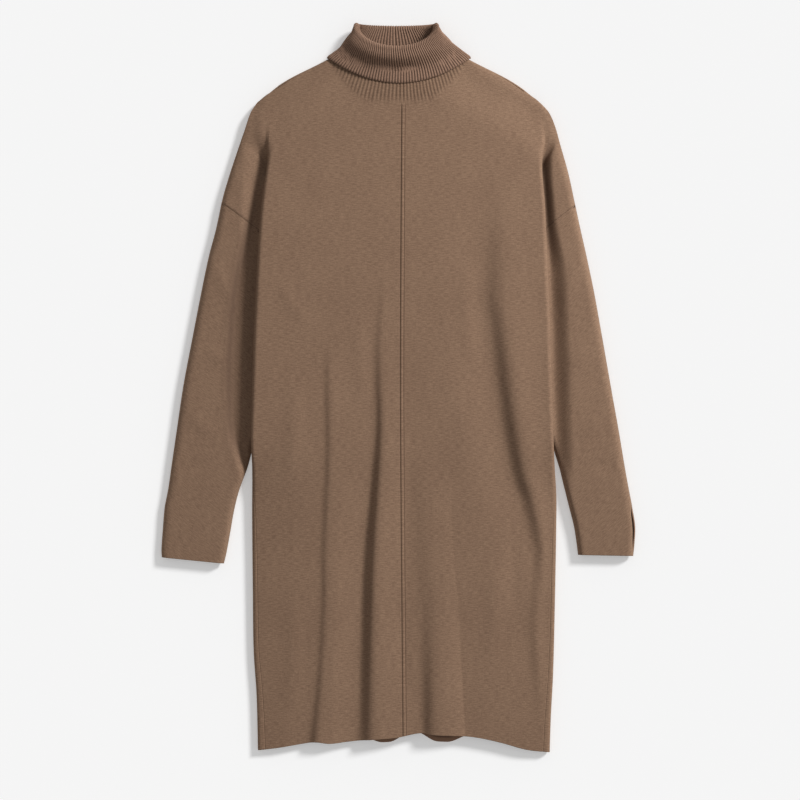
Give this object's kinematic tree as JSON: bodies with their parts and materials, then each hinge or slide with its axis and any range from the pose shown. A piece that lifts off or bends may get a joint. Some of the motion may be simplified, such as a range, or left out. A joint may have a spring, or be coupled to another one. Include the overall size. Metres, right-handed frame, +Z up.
{
  "type": "sweater dress",
  "caption": "Fine-knit sweater dress with folded ribbed polo collar, dropped shoulders, centre-front seam and slit cuffs, laid flat on its back with the sleeves down its sides",
  "frame": {"origin": "middle of the outline, on the surface that the garment lies on", "axes": "+Z up from the surface through the front, +Y toward the neck, +X toward the wearer's left"},
  "size_m": [0.686, 1.0564, 0.0339],
  "materials": {
    "knit": "plain fine knit, matt with a soft nap",
    "rib": "one-by-one rib knit, matt"
  },
  "bodies": {
    "root": {"front_right": "knit", "front_left": "knit", "back": "knit", "sleeve_right": "knit", "sleeve_left": "knit", "collar": "rib"}
  },
  "joints": []
}
